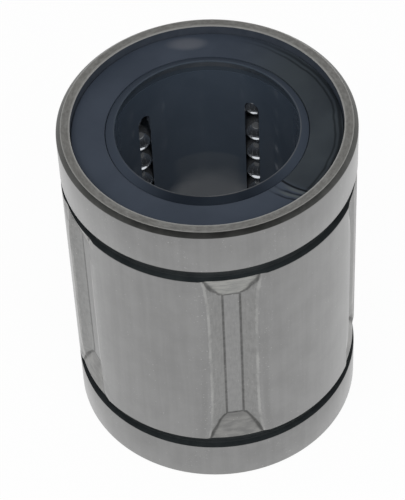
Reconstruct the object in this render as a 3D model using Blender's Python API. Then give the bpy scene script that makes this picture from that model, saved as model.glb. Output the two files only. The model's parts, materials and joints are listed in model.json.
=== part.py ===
"""Linear ball bearing: a thin pressed steel sleeve around a resin cage with five ball circuits.

Lengths are millimetres until MM turns them into Blender's metres. The bore runs along +Z, the origin is
in the middle of the lower end face, and azimuth 0 is the front, -Y, growing towards +X.
"""
import math

import bmesh
import bpy
from mathutils import Matrix, Vector

MM = 0.001

# Overall
LENGTH = 42.0
SHAFT_D = 20.0
CIRCUITS = 5
FIRST_AZIMUTH = math.radians(6.2)

# Steel balls, the clearance that they run with, and the gaps between them on the turns and on a straight row
BALL_D = 3.175
BALL_CLEAR = 0.2
BALL_GAP_MIN = 0.12
ROW_GAP = 0.02

# Share of the ball pitch that each circuit has rolled on, as its balls happen to stand
ROLLED_ON = (0.2, -0.3, -0.09, 0.14, -0.15)

# Outer sleeve
WALL = 1.5
CHAMFER = 0.5
GROOVE_SPAN = 30.5
GROOVE_WIDTH = 1.6
GROOVE_DEPTH = 0.75

# Pressed tracks in the sleeve
PRESS_DEPTH = 1.125
FLAT_HALF = 1.0
SHOULDER_HALF = 3.05
SIDE_CURVE = 2.4
RAMP_RUN = 3.4
RAMP_STEP = 0.15

# Ball path
RETURN_LIFT = 0.85
TURN_R = 3.2
TURN_TILT = math.radians(13.0)
TURN_STEPS = 8
ROW_OVERRUN = 0.1

# Cage, end rings and seals
FIT = 0.2
CAGE_OVER_SHAFT = 0.25
CAGE_END_WALL = 1.7
RING_SET_BACK = 1.1
RING_THICK = 1.5
RING_WEB = 0.7
RING_OVER_SHAFT = 0.85
SEAL_FLANGE = 1.6
LIP_BITE = 0.2
LIP_THICK = 0.3
LIP_EDGE = 0.1
LIP_RISE = 0.35

# Facets, and the edges that stay sharp
PLAIN_COLUMNS = 5
SIDE_LINES = (0.75, 0.4)
RAMP_LINE = 0.5
CHANNEL_STEPS = 4
ROUND_STEPS = 44
BEAD_SIDES = 6
BEAD_RING = math.radians(50.0)
BEAD_NECK = 0.2
SHARP_TURN = math.radians(28.0)
BEAD_SHARP_TURN = math.radians(60.0)

# Sizes that follow
MID = LENGTH / 2
LOAD_R = (SHAFT_D + BALL_D) / 2
RETURN_R = LOAD_R + RETURN_LIFT
RACE_R = BALL_D / 2 + BALL_CLEAR
SLEEVE_IN = LOAD_R + RACE_R + PRESS_DEPTH
SLEEVE_OUT = SLEEVE_IN + WALL
GROOVE_R = SLEEVE_OUT - GROOVE_DEPTH
GROOVE_START = (LENGTH - GROOVE_SPAN) / 2
GROOVE_END = GROOVE_START + GROOVE_WIDTH
FLAT_END = MID - GROOVE_END - RAMP_RUN
CAGE_IN = SHAFT_D / 2 + CAGE_OVER_SHAFT
CAGE_OUT = SLEEVE_IN - FIT
CAGE_START = RING_SET_BACK + RING_THICK + FIT
SECTOR = 2 * math.pi / CIRCUITS

# The straight rows end where the round turns leave CAGE_END_WALL of resin, and the balls share the path
ROW_HALF = MID - CAGE_START - CAGE_END_WALL - BALL_D / 2 - TURN_R
QUARTER_PATH = ROW_HALF + TURN_R * math.pi / 2
CIRCUIT_BALLS = int(4 * QUARTER_PATH / (BALL_D + BALL_GAP_MIN))
PITCH = 4 * QUARTER_PATH / CIRCUIT_BALLS
ROW_PITCH = BALL_D + ROW_GAP

# A row takes the balls that can roll half a pitch and stay on the straight, and the turns take the rest
FITTING_BALLS = int(2 * (ROW_HALF + ROW_OVERRUN) / PITCH)
LOAD_BALLS = FITTING_BALLS - (FITTING_BALLS + 1) % 2
RETURN_BALLS = FITTING_BALLS - (FITTING_BALLS + CIRCUIT_BALLS + 1) % 2
TURN_BALLS = (CIRCUIT_BALLS - LOAD_BALLS - RETURN_BALLS) // 2
FIRST_IN_TURN = (LOAD_BALLS + 1) / 2 * PITCH - QUARTER_PATH


def around(azimuth, radius, z):
    """Point at an azimuth, a radius and a height."""
    return Vector((radius * math.sin(azimuth), -radius * math.cos(azimuth), z))


def material(name, colour, roughness, metallic):
    """One plain finish."""
    finish = bpy.data.materials.new(name)
    finish.use_nodes = True
    shader = finish.node_tree.nodes["Principled BSDF"]
    shader.inputs["Base Color"].default_value = (*colour, 1.0)
    shader.inputs["Roughness"].default_value = roughness
    shader.inputs["Metallic"].default_value = metallic
    finish.diffuse_color = (*colour, 1.0)
    return finish


def mesh_from(name, points, faces, sharp_turn=None):
    """Closed mesh from points in millimetres, with its faces turned outwards."""
    shape = bmesh.new()
    corners = [shape.verts.new(point * MM) for point in points]
    for face in faces:
        shape.faces.new([corners[index] for index in face])
    bmesh.ops.recalc_face_normals(shape, faces=shape.faces)
    mesh = bpy.data.meshes.new(name)
    shape.to_mesh(mesh)
    shape.free()
    shade(mesh, sharp_turn)
    return mesh


def shade(mesh, sharp_turn):
    """Smooth the round faces and keep the edges that turn more than the angle."""
    if sharp_turn is not None:
        mesh.shade_smooth()
        mesh.set_sharp_from_angle(angle=sharp_turn)


def node(name, mesh, finish, parent=None, location=(0.0, 0.0, 0.0), azimuth=0.0):
    """One sub-part, placed by its location, its turn about Z and its parent."""
    part = bpy.data.objects.new(name, mesh)
    bpy.context.collection.objects.link(part)
    if not mesh.materials:
        mesh.materials.append(finish)
    part.parent = parent
    part.location = Vector(location) * MM
    part.rotation_euler.z = azimuth
    return part


def skin_faces(rows, columns, closed_rows):
    """Quads between rows of points that run right round, one row after the other."""
    faces = []
    for row in range(rows if closed_rows else rows - 1):
        above = (row + 1) % rows
        for column in range(columns):
            beside = (column + 1) % columns
            faces.append((
                row * columns + column,
                row * columns + beside,
                above * columns + beside,
                above * columns + column,
            ))
    return faces


# Pressed tracks

def ramp_depth(z):
    """Depth that the press reaches at a height, rising from the flat to a low step at the groove."""
    share = (abs(z - MID) - FLAT_END) / RAMP_RUN
    return min(PRESS_DEPTH, max(0.0, PRESS_DEPTH - (PRESS_DEPTH - RAMP_STEP) * share))


def side_depth(offset):
    """Depth of the track's side at a distance from its middle, measured round the outside."""
    share = (abs(offset) - FLAT_HALF) / (SHOULDER_HALF - FLAT_HALF)
    return PRESS_DEPTH * (1.0 - min(1.0, max(0.0, share)) ** SIDE_CURVE)


def side_offset(depth):
    """Distance from the track's middle at which its side has a depth."""
    share = (1.0 - depth / PRESS_DEPTH) ** (1.0 / SIDE_CURVE)
    return FLAT_HALF + share * (SHOULDER_HALF - FLAT_HALF)


def press_depth(offset, z):
    """How far both skins of the wall are pushed inwards."""
    return min(side_depth(offset), ramp_depth(z))


def track_offsets():
    """Lines across one track: flat, side, where the ramp meets the groove, and shoulder."""
    sides = [side_offset(PRESS_DEPTH * share) for share in SIDE_LINES]
    half = [FLAT_HALF] + sides + [side_offset(RAMP_STEP), SHOULDER_HALF]
    return [-offset for offset in reversed(half)] + [0.0] + half


def wall_columns():
    """Azimuth and distance from the nearest track's middle, for each line of the wall."""
    columns = []
    shoulder = SHOULDER_HALF / SLEEVE_OUT
    for circuit in range(CIRCUITS):
        centre = circuit * SECTOR
        columns += [(centre + offset / SLEEVE_OUT, offset) for offset in track_offsets()]
        plain = SECTOR - 2 * shoulder
        for step in range(1, PLAIN_COLUMNS + 1):
            columns.append((centre + shoulder + plain * step / (PLAIN_COLUMNS + 1), SHOULDER_HALF))
    return columns


def race_hollow(offset):
    """Extra radius of the rounded race, which the flat of the track carries inside."""
    across = abs(offset) * (LOAD_R + RACE_R) / SLEEVE_OUT
    if abs(offset) > FLAT_HALF:
        return 0.0
    return math.sqrt(RACE_R ** 2 - across ** 2) - RACE_R


# Outer sleeve

def ramp_heights():
    """Heights of the lines along one end of a track, from the groove to the flat."""
    return [GROOVE_END, GROOVE_END + RAMP_RUN * RAMP_LINE, GROOVE_END + RAMP_RUN]


def sleeve_rows():
    """Section of the sleeve as (radius, height, pressed), up the outside and down the inside."""
    lower_outside = [
        (SLEEVE_OUT - CHAMFER, 0.0, False),
        (SLEEVE_OUT, CHAMFER, False),
        (SLEEVE_OUT, GROOVE_START, False),
        (GROOVE_R, GROOVE_START, False),
        (GROOVE_R, GROOVE_END, False),
    ]
    lower_outside += [(SLEEVE_OUT, height, True) for height in ramp_heights()]
    lower_inside = [(SLEEVE_IN, 0.0, False), (SLEEVE_IN, GROOVE_START, False)]
    lower_inside += [(SLEEVE_IN, height, True) for height in ramp_heights()]
    rows = lower_outside
    rows = rows + [(radius, LENGTH - z, pressed) for radius, z, pressed in reversed(lower_outside)]
    rows = rows + [(radius, LENGTH - z, pressed) for radius, z, pressed in lower_inside]
    return rows + list(reversed(lower_inside))


def split_inwards(points, face):
    """Two triangles along the diagonal nearer the bore, so that a pressed crease stays a crease."""
    first, second, third, fourth = face
    reach = (points[first] + points[third]).xy.length
    if reach <= (points[second] + points[fourth]).xy.length:
        return [(first, second, third), (first, third, fourth)]
    return [(second, third, fourth), (second, fourth, first)]


def sleeve_mesh():
    """Tube whose wall is pushed inwards along five tracks."""
    columns = wall_columns()
    rows = sleeve_rows()
    points = []
    for radius, z, pressed in rows:
        for azimuth, offset in columns:
            depth = press_depth(offset, z) if pressed else 0.0
            inside = radius < GROOVE_R
            hollow = race_hollow(offset) * depth / PRESS_DEPTH if inside else 0.0
            points.append(around(azimuth, radius - depth + hollow, z))
    faces = []
    for face in skin_faces(len(rows), len(columns), True):
        faces += split_inwards(points, face)
    return mesh_from("outer_sleeve", points, faces, SHARP_TURN)


# Ball path

class Turn:
    """Half circle that carries the balls between the load row and the return row at one end."""

    def __init__(self, end):
        load = around(0.0, LOAD_R, 0.0)
        chord = 2 * TURN_R
        across = (LOAD_R ** 2 + RETURN_R ** 2 - chord ** 2) / (2 * LOAD_R * RETURN_R)
        back = around(math.acos(across), RETURN_R, 0.0)
        outwards = (back - load).normalized().cross(Vector((0.0, 0.0, 1.0)))
        self.towards_return = (back - load).normalized()
        self.rise = outwards * math.sin(TURN_TILT) + Vector((0.0, 0.0, end * math.cos(TURN_TILT)))
        self.centre = (load + back) / 2 + Vector((0.0, 0.0, MID + end * ROW_HALF))
        self.end = end

    def point(self, angle):
        """Place on the turn, from the load row at 0 to the return row at a half turn."""
        return (self.centre
                - self.towards_return * TURN_R * math.cos(angle)
                + self.rise * TURN_R * math.sin(angle))

    def heading(self, angle):
        """Direction of travel at the same place."""
        return self.towards_return * math.sin(angle) + self.rise * math.cos(angle)

    def turned_on(self, rolled):
        """Rotation about the turn's centre that follows the load row's travel."""
        axis = self.rise.cross(self.towards_return)
        return Matrix.Rotation(self.end * rolled / TURN_R, 3, axis).to_euler()


def channel_path():
    """Places and headings once round a circuit: up the load row, over, down the return row, under."""
    path = []
    for end in (1, -1):
        turn = Turn(end)
        for step in range(TURN_STEPS + 1):
            angle = math.pi * (step if end > 0 else TURN_STEPS - step) / TURN_STEPS
            heading = turn.heading(angle) * end
            path.append((turn.point(angle), heading))
    return path


def channel_section(place, heading):
    """Round-bottomed section across the path, open as far as the outside of the sleeve."""
    outwards = Vector((place.x, place.y, 0.0)).normalized()
    across = heading.cross(outwards).normalized()
    section = []
    for step in range(CHANNEL_STEPS + 1):
        angle = math.pi * step / CHANNEL_STEPS
        section.append(place + across * RACE_R * math.cos(angle) - outwards * RACE_R * math.sin(angle))
    reach = SLEEVE_OUT - Vector((place.x, place.y)).length
    section.append(place - across * RACE_R + outwards * reach)
    section.append(place + across * RACE_R + outwards * reach)
    return section


def channel_cutter():
    """The space that one circuit of balls needs, swept round the circuit, once for each circuit."""
    path = channel_path()
    points = []
    faces = []
    for circuit in range(CIRCUITS):
        first = len(points)
        cosine, sine = math.cos(circuit * SECTOR), math.sin(circuit * SECTOR)
        for place, heading in path:
            for point in channel_section(place, heading):
                points.append(Vector((point.x * cosine - point.y * sine,
                                      point.x * sine + point.y * cosine, point.z)))
        side = len(channel_section(*path[0]))
        faces += [tuple(first + index for index in face) for face in skin_faces(len(path), side, True)]
    cutter = bpy.data.objects.new("channel_cutter", mesh_from("channel_cutter", points, faces))
    bpy.context.collection.objects.link(cutter)
    cutter.rotation_euler.z = FIRST_AZIMUTH
    cutter.hide_render = True
    cutter.display_type = "WIRE"
    return cutter


# Ball cage

def cage_mesh():
    """Tube with a flute along each pressed track, so that it slides in past the tracks."""
    columns = wall_columns()
    top = LENGTH - CAGE_START
    points = []
    for radius, z, fluted in ((CAGE_OUT, CAGE_START, True), (CAGE_OUT, top, True),
                              (CAGE_IN, top, False), (CAGE_IN, CAGE_START, False)):
        for azimuth, offset in columns:
            flute = side_depth(offset) if fluted else 0.0
            points.append(around(azimuth, radius - flute, z))
    return mesh_from("ball_cage", points, skin_faces(4, len(columns), True), SHARP_TURN)


def make_cage(finish):
    """Cage with its ball channels cut from the outside, open to the bore along the load rows."""
    cage = node("ball_cage", cage_mesh(), finish, azimuth=FIRST_AZIMUTH)
    cut = cage.modifiers.new("ball_channels", "BOOLEAN")
    cut.operation = "DIFFERENCE"
    cut.solver = "EXACT"
    cut.object = channel_cutter()
    return cage


# Turned rings

def turned_mesh(name, profile, upside_down):
    """Ring turned from a profile of (radius, height) seen from the top end."""
    points = []
    for radius, z in profile:
        height = LENGTH - z if upside_down else z
        for step in range(ROUND_STEPS):
            points.append(around(2 * math.pi * step / ROUND_STEPS, radius, height))
    return mesh_from(name, points, skin_faces(len(profile), ROUND_STEPS, True), SHARP_TURN)


def ring_profile():
    """End ring: a flat face, and below it a seat for the seal's flange."""
    top = LENGTH - RING_SET_BACK
    hole = SHAFT_D / 2 + RING_OVER_SHAFT
    seat = hole + SEAL_FLANGE
    outside = SLEEVE_IN - FIT
    return [
        (hole, top),
        (outside, top),
        (outside, top - RING_THICK),
        (seat, top - RING_THICK),
        (seat, top - RING_WEB),
        (hole, top - RING_WEB),
    ]


def seal_profile():
    """Seal: a flange clamped under the end ring, and a lip that leans inwards to wipe the shaft."""
    top = LENGTH - RING_SET_BACK
    hole = SHAFT_D / 2 + RING_OVER_SHAFT
    seat = hole + SEAL_FLANGE
    neck = hole - FIT
    wipe = SHAFT_D / 2 - LIP_BITE
    floor = top - RING_THICK
    flange = top - RING_WEB - FIT
    return [
        (CAGE_IN, floor),
        (seat - FIT, floor),
        (seat - FIT, flange),
        (neck, flange),
        (neck, top - LIP_THICK),
        (wipe + LIP_EDGE, top + LIP_RISE),
        (wipe, top + LIP_RISE - LIP_EDGE),
        (CAGE_IN, flange),
    ]


# Balls

def ball_mesh():
    """One steel ball."""
    shape = bmesh.new()
    bmesh.ops.create_icosphere(shape, subdivisions=2, radius=BALL_D / 2 * MM)
    mesh = bpy.data.meshes.new("steel_ball")
    shape.to_mesh(mesh)
    shape.free()
    mesh.shade_smooth()
    return mesh


def string_mesh(name, middles, frame_at):
    """Balls in a row, as rings across the path with a small neck where one ball meets the next."""
    radius = BALL_D / 2
    reach = radius * math.cos(BEAD_RING)
    waist = radius * math.sin(BEAD_RING)
    neck = (middles[1] - middles[0]) / 2
    stations = []
    for middle in middles:
        if stations:
            stations.append((middle - neck, radius * BEAD_NECK))
        stations += [(middle - reach, waist), (middle, radius), (middle + reach, waist)]
    points = []
    for along, width in stations:
        place, side, up = frame_at(along)
        for step in range(BEAD_SIDES):
            angle = 2 * math.pi * step / BEAD_SIDES
            points.append(place + side * width * math.cos(angle) + up * width * math.sin(angle))
    faces = skin_faces(len(stations), BEAD_SIDES, False)
    for tip, row in ((middles[0] - radius, 0), (middles[-1] + radius, len(stations) - 1)):
        points.append(frame_at(tip)[0])
        for step in range(BEAD_SIDES):
            beside = (step + 1) % BEAD_SIDES
            faces.append((row * BEAD_SIDES + step, row * BEAD_SIDES + beside, len(points) - 1))
    return mesh_from(name, points, faces, BEAD_SHARP_TURN)


def row_middles(count):
    """Places of a row's balls along it, from its middle."""
    return [(index - (count - 1) / 2) * ROW_PITCH for index in range(count)]


def turn_string(end):
    """Balls in one turn, around the turn's centre."""
    turn = Turn(end)
    axis = turn.towards_return.cross(turn.rise)

    def frame_at(along):
        angle = math.pi / 2 + along / TURN_R
        place = turn.point(angle) - turn.centre
        return place, place.normalized(), axis

    middles = [FIRST_IN_TURN + index * PITCH for index in range(TURN_BALLS)]
    return string_mesh("turn_balls", middles, frame_at)


def return_string():
    """Balls in the return row, around the row's middle."""

    def frame_at(along):
        return Vector((0.0, 0.0, along)), Vector((1.0, 0.0, 0.0)), Vector((0.0, 1.0, 0.0))

    return string_mesh("return_balls", row_middles(RETURN_BALLS), frame_at)


def make_circuits(finish):
    """Load-row balls one by one, and the hidden return row and turns as strings of balls."""
    ball = ball_mesh()
    returning = return_string()
    turns = {"upper": (Turn(1), turn_string(1)), "lower": (Turn(-1), turn_string(-1))}
    back = Turn(1).centre + Turn(1).towards_return * TURN_R
    for circuit in range(CIRCUITS):
        name = "circuit_%d" % (circuit + 1)
        rolled = ROLLED_ON[circuit % len(ROLLED_ON)] * PITCH
        hub = bpy.data.objects.new(name, None)
        bpy.context.collection.objects.link(hub)
        hub.rotation_euler.z = FIRST_AZIMUTH + circuit * SECTOR
        for index, middle in enumerate(row_middles(LOAD_BALLS)):
            place = around(0.0, LOAD_R, MID + middle + rolled)
            node("%s_load_ball_%d" % (name, index + 1), ball, finish, hub, place)
        node(name + "_return_balls", returning, finish, hub, (back.x, back.y, MID - rolled))
        for side, (turn, mesh) in turns.items():
            group = node("%s_%s_turn_balls" % (name, side), mesh, finish, hub, turn.centre)
            group.rotation_euler = turn.turned_on(rolled)


def clear_scene():
    """Start with nothing in the scene."""
    for existing in list(bpy.data.objects):
        bpy.data.objects.remove(existing, do_unlink=True)


def build():
    """The whole bearing, from the outside in."""
    clear_scene()
    ground_steel = material("ground_steel", (0.36, 0.36, 0.355), 0.34, 1.0)
    ball_steel = material("ball_steel", (0.62, 0.62, 0.63), 0.12, 1.0)
    black_resin = material("black_resin", (0.022, 0.026, 0.032), 0.42, 0.0)
    black_rubber = material("black_rubber", (0.014, 0.016, 0.019), 0.6, 0.0)
    node("outer_sleeve", sleeve_mesh(), ground_steel, azimuth=FIRST_AZIMUTH)
    make_cage(black_resin)
    for end, upside_down in (("top", False), ("bottom", True)):
        ring = "end_ring_" + end
        seal = "seal_" + end
        node(ring, turned_mesh(ring, ring_profile(), upside_down), black_resin)
        node(seal, turned_mesh(seal, seal_profile(), upside_down), black_rubber)
    make_circuits(ball_steel)


build()
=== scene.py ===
import json
import math

import bpy
from mathutils import Matrix, Vector


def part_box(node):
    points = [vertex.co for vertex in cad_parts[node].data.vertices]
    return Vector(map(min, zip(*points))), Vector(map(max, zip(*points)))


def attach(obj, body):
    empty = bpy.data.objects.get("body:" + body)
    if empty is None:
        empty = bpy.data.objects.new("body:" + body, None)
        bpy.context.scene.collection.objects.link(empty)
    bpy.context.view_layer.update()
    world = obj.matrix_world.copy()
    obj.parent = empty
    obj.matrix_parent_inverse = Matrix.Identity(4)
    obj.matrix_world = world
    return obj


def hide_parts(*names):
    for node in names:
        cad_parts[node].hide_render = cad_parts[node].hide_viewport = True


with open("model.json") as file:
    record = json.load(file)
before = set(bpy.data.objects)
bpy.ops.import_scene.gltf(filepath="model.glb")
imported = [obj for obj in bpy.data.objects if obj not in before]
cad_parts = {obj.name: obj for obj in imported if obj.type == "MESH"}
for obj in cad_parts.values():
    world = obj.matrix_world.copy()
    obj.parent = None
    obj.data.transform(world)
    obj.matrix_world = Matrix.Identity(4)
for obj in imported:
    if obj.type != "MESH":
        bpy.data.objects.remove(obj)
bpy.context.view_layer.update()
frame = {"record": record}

# Outer sleeve
# A thin tube of hardened bearing steel. Five tracks are pressed into it from outside, then the outside is
# ground, so the lands shine and the tracks, grooves and chamfers keep their darker skin.
MM = 0.001
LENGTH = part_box("outer_sleeve")[1][2] / MM
MID = LENGTH / 2
SLEEVE_OUT = 16.0
SLEEVE_IN = 14.5
CHAMFER = 0.5
EDGE_BREAK = 0.07
FILLET = 0.12
LAND_EDGE = 0.1
GROOVE_SPAN = 30.5
GROOVE_WIDTH = 1.6
GROOVE_R = 15.25
GROOVE_START = (LENGTH - GROOVE_SPAN) / 2
GROOVE_END = GROOVE_START + GROOVE_WIDTH
CIRCUITS = 5
SECTOR = 2 * math.pi / CIRCUITS
FIRST_AZIMUTH = math.radians(6.2)
PRESS_DEPTH = 1.125
FLAT_HALF = 1.0
WAIST_HALF = 2.62
END_HALF = 3.2
WAIST_CURVE = 4.5
SHOULDER_ROUND = 0.07
SIDE_CURVE = 1.25
END_CURVE = 2.9
RAMP_RUN = 3.4
RAMP_STEP = 0.15
TRACK_REACH = END_HALF + 0.3
TRACK_HALF_SPAN = MID - GROOVE_END
FLAT_END = TRACK_HALF_SPAN - RAMP_RUN
SKIN_SPLIT = 15.6
HAIR = 0.01
SKIN_MARGIN = 0.05
RAMP_MARGIN = 0.3
FLAT_SPACING = 0.9
RAMP_SPACING = 0.12
INNER_SPACING = 0.5
SHOULDER_BAND = 1.2
SHOULDER_STEPS = 14
MIDDLE_STEPS = 26
PLAIN_STEPS = 16
WELD = 1e-7
SMOOTH_ANGLE = math.radians(32)


def settle(piece):
    """Deselect all but one piece and make it active."""
    for other in bpy.context.selected_objects:
        other.select_set(False)
    piece.select_set(True)
    bpy.context.view_layer.objects.active = piece


def arc_corner(before, corner, after, radius, steps):
    """Points that round one corner of an outline."""
    here = Vector(corner)
    back = (Vector(before) - here).normalized()
    onward = (Vector(after) - here).normalized()
    half = back.angle(onward) / 2
    reach = radius / math.tan(half)
    centre = here + (back + onward).normalized() * (radius / math.sin(half))
    start = here + back * reach - centre
    end = here + onward * reach - centre
    turn = start.angle(end)
    points = []
    for step in range(steps + 1):
        share = step / steps
        blend = start * math.sin((1 - share) * turn) + end * math.sin(share * turn)
        points.append(tuple(centre + blend / math.sin(turn)))
    return points


def rounded_outline(corners, steps=3):
    """Closed outline from (radius, height, fillet) corners, each corner rounded by its fillet."""
    points = []
    for index, (radius, height, fillet) in enumerate(corners):
        before = corners[index - 1][:2]
        after = corners[(index + 1) % len(corners)][:2]
        if fillet > 0:
            points += arc_corner(before, (radius, height), after, fillet, steps)
        else:
            points.append((radius, height))
    return points


def spun_piece(name, outline, stretches):
    """Draw an outline of (radius, height) on the +X side and spin it round the bore in stretches."""
    first = outline[0]
    bpy.ops.mesh.primitive_plane_add(size=MM, location=(0, 0, 0))
    piece = bpy.context.active_object
    piece.name = name
    settle(piece)
    bpy.ops.object.mode_set(mode="EDIT")
    bpy.ops.mesh.select_all(action="SELECT")
    bpy.ops.mesh.merge(type="CENTER")
    bpy.ops.transform.translate(value=(first[0] * MM, 0, first[1] * MM))
    previous = first
    for point in outline[1:] + [first]:
        step = ((point[0] - previous[0]) * MM, 0, (point[1] - previous[1]) * MM)
        bpy.ops.mesh.extrude_region_move(TRANSFORM_OT_translate={"value": step})
        previous = point
    bpy.ops.mesh.select_all(action="SELECT")
    bpy.ops.mesh.remove_doubles(threshold=WELD)
    for angle, steps in stretches:
        bpy.ops.mesh.spin(steps=steps, angle=angle, center=(0, 0, 0), axis=(0, 0, 1))
    bpy.ops.mesh.select_all(action="SELECT")
    bpy.ops.mesh.remove_doubles(threshold=WELD)
    bpy.ops.mesh.normals_make_consistent(inside=False)
    bpy.ops.object.mode_set(mode="OBJECT")
    return piece


def side_depth(offset, height):
    """Depth of a track's side, with a rounded shoulder. The track is narrowest at its waist."""
    along = min(1.0, abs(height - MID) / TRACK_HALF_SPAN) ** WAIST_CURVE
    shoulder = WAIST_HALF + (END_HALF - WAIST_HALF) * along
    curve = SIDE_CURVE + (END_CURVE - SIDE_CURVE) * along
    share = max(0.0, (abs(offset) - FLAT_HALF) / (shoulder - FLAT_HALF))
    depth = PRESS_DEPTH * (1.0 - share ** curve)
    return (depth + math.sqrt(depth ** 2 + SHOULDER_ROUND ** 2)) / 2


def ramp_depth(height):
    """Depth of a track's end ramp at a height."""
    share = (abs(height - MID) - FLAT_END) / RAMP_RUN
    return min(PRESS_DEPTH, PRESS_DEPTH - (PRESS_DEPTH - RAMP_STEP) * share)


def track_offset(x, y):
    """Distance round the outside from the middle of the nearest track."""
    azimuth = math.atan2(x, -y) - FIRST_AZIMUTH
    return (azimuth - SECTOR * round(azimuth / SECTOR)) * SLEEVE_OUT


def heights(start, end, spacing):
    """Evenly spaced heights from start towards end, without the end."""
    count = max(1, round(abs(end - start) / spacing))
    return [start + (end - start) * step / count for step in range(count)]


def sleeve_outline():
    """Outline of the sleeve's wall, with the rows that the pressed tracks need."""
    lower = rounded_outline([
        (SLEEVE_IN, 0.0, FILLET),
        (SLEEVE_OUT - CHAMFER, 0.0, EDGE_BREAK),
        (SLEEVE_OUT, CHAMFER, LAND_EDGE),
        (SLEEVE_OUT, GROOVE_START, EDGE_BREAK),
        (GROOVE_R, GROOVE_START, FILLET),
        (GROOVE_R, GROOVE_END, FILLET),
        (SLEEVE_OUT, GROOVE_END, EDGE_BREAK),
        (SLEEVE_OUT, MID, 0.0),
        (SLEEVE_IN, MID, 0.0),
    ])[:-2]
    ramp_start = GROOVE_END + 2 * EDGE_BREAK
    flat_start = MID - FLAT_END - RAMP_MARGIN
    flat_rows = heights(flat_start, LENGTH - flat_start, FLAT_SPACING) + [LENGTH - flat_start]
    ramp_rows = heights(ramp_start, flat_start, RAMP_SPACING)
    upper_ramp = [LENGTH - height for height in reversed(ramp_rows)]
    outside = [(SLEEVE_OUT, height) for height in ramp_rows + flat_rows + upper_ramp]
    inner_ramp = heights(GROOVE_START, flat_start, INNER_SPACING)
    inner_rows = inner_ramp + flat_rows + [LENGTH - height for height in reversed(inner_ramp)]
    inside = [(SLEEVE_IN, height) for height in reversed(inner_rows)]
    upper = [(radius, LENGTH - height) for radius, height in reversed(lower)]
    return lower + outside + upper + inside


def press_tracks(sleeve):
    """Push both skins of the wall inwards along the five tracks."""
    for vertex in sleeve.data.vertices:
        x, y, z = (value / MM for value in vertex.co)
        radius = math.hypot(x, y)
        offset = track_offset(x, y)
        inner_skin = radius < SLEEVE_IN + SKIN_MARGIN
        if abs(offset) > TRACK_REACH or not (radius > SKIN_SPLIT or inner_skin):
            continue
        start = GROOVE_START if inner_skin else GROOVE_END
        if not start - HAIR < z < LENGTH - start + HAIR:
            continue
        depth = max(0.0, min(side_depth(offset, z), ramp_depth(z)))
        scale = (radius - depth) / radius
        vertex.co.x *= scale
        vertex.co.y *= scale


shoulder_turn = SHOULDER_BAND / SLEEVE_OUT
middle_turn = 2 * TRACK_REACH / SLEEVE_OUT - 2 * shoulder_turn
plain_turn = SECTOR - middle_turn - 2 * shoulder_turn
shoulder = (shoulder_turn, SHOULDER_STEPS)
sector = [shoulder, (middle_turn, MIDDLE_STEPS), shoulder, (plain_turn, PLAIN_STEPS)]
sleeve = spun_piece("sleeve_shell", sleeve_outline(), sector * CIRCUITS)
settle(sleeve)
start_turn = FIRST_AZIMUTH - math.pi / 2 - TRACK_REACH / SLEEVE_OUT
sleeve.data.transform(Matrix.Rotation(start_turn, 4, "Z"))
press_tracks(sleeve)
bpy.ops.object.shade_smooth_by_angle(angle=SMOOTH_ANGLE)


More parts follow.
